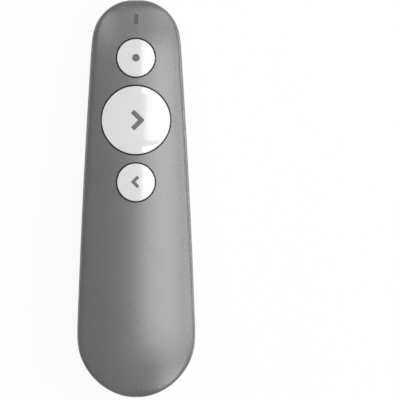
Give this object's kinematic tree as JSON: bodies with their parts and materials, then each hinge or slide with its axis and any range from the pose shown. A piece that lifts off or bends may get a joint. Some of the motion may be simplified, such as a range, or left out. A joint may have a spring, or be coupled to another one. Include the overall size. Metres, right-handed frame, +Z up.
{
  "type": "wireless presentation clicker",
  "caption": "Tapered handheld remote with round push buttons on a crowned face, a deep rounded back, a slide-off battery door and a stowed receiver.",
  "frame": {"origin": "middle of the bounding box's base, on the surface that the back's straight stretch rests on", "axes": "+Y towards the nose that the beam leaves, +X to the right of the button face with the nose up, +Z up; the seam plane leans 7.5 degrees about X, tail high"},
  "size_m": [0.0356, 0.1189, 0.0265],
  "materials": {
    "grey_shell": "satin moulded, neutral mid grey",
    "white_cap": "smooth white, softly glossy",
    "dark_frame": "fine matte, near black",
    "olive_label": "printed film, satin",
    "black_plastic": "moulded, matte",
    "switch_plunger": "moulded, red-brown",
    "steel": "nickel-plated sheet",
    "spring_steel": "bright plated spring steel",
    "board_mask": "near-black solder mask",
    "ceramic_white": "fired ceramic, white",
    "ceramic_tan": "fired ceramic, tan with tinned ends",
    "clear_plastic": "clear moulded",
    "red_window": "dark red clear filter",
    "brass_barrel": "turned",
    "battery_sleeve": "printed film sleeve with a copper-coloured end",
    "plug_plastic": "white moulded",
    "gold_contact": "gold-plated"
  },
  "bodies": {
    "housing": {"front_shell": "grey_shell", "rear_shell": "grey_shell", "battery_tray": "dark_frame", "rear_label": "olive_label", "switch_bodies": "black_plastic", "switch_covers": "steel", "main_board": "board_mask", "radio_chip": "black_plastic", "crystal_can": "steel", "chip_antenna": "ceramic_white", "power_inductor": "black_plastic", "laser_driver_chip": "black_plastic", "chip_capacitors": "ceramic_tan", "status_led": "ceramic_white", "light_pipe": "clear_plastic", "laser_barrel": "brass_barrel", "laser_lens": "clear_plastic", "laser_diode": "steel", "laser_holder": "black_plastic", "laser_window": "red_window", "battery_can": "battery_sleeve", "battery_positive_cap": "steel", "battery_spring": "spring_steel", "negative_contact_plate": "spring_steel", "positive_contact_plate": "spring_steel", "receiver_housing": "black_plastic", "receiver_plug_shell": "steel", "receiver_tongue": "plug_plastic", "receiver_contacts": "gold_contact", "fixing_screws": "steel"},
    "pointer_button": {"pointer_button_cap": "white_cap", "pointer_switch_plunger": "switch_plunger"},
    "next_button": {"next_button_cap": "white_cap", "next_switch_plunger": "switch_plunger"},
    "back_button": {"back_button_cap": "white_cap", "back_switch_plunger": "switch_plunger"},
    "battery_cover": {"battery_door": "grey_shell"}
  },
  "joints": [
    {"name": "pointer_press", "type": "slide", "parent": "housing", "child": "pointer_button", "axis": [0, -0.1305, -0.9914], "range_m": [0, 0.00045], "stiffness_N_per_m": 1500, "springref_m": -0.0004},
    {"name": "next_press", "type": "slide", "parent": "housing", "child": "next_button", "axis": [0, -0.1305, -0.9914], "range_m": [0, 0.00045], "stiffness_N_per_m": 1500, "springref_m": -0.0004},
    {"name": "back_press", "type": "slide", "parent": "housing", "child": "back_button", "axis": [0, -0.1305, -0.9914], "range_m": [0, 0.00045], "stiffness_N_per_m": 1500, "springref_m": -0.0004},
    {"name": "battery_door_slide", "type": "slide", "parent": "housing", "child": "battery_cover", "axis": [0, -0.9914, 0.1305], "range_m": [0, 0.054]}
  ]
}
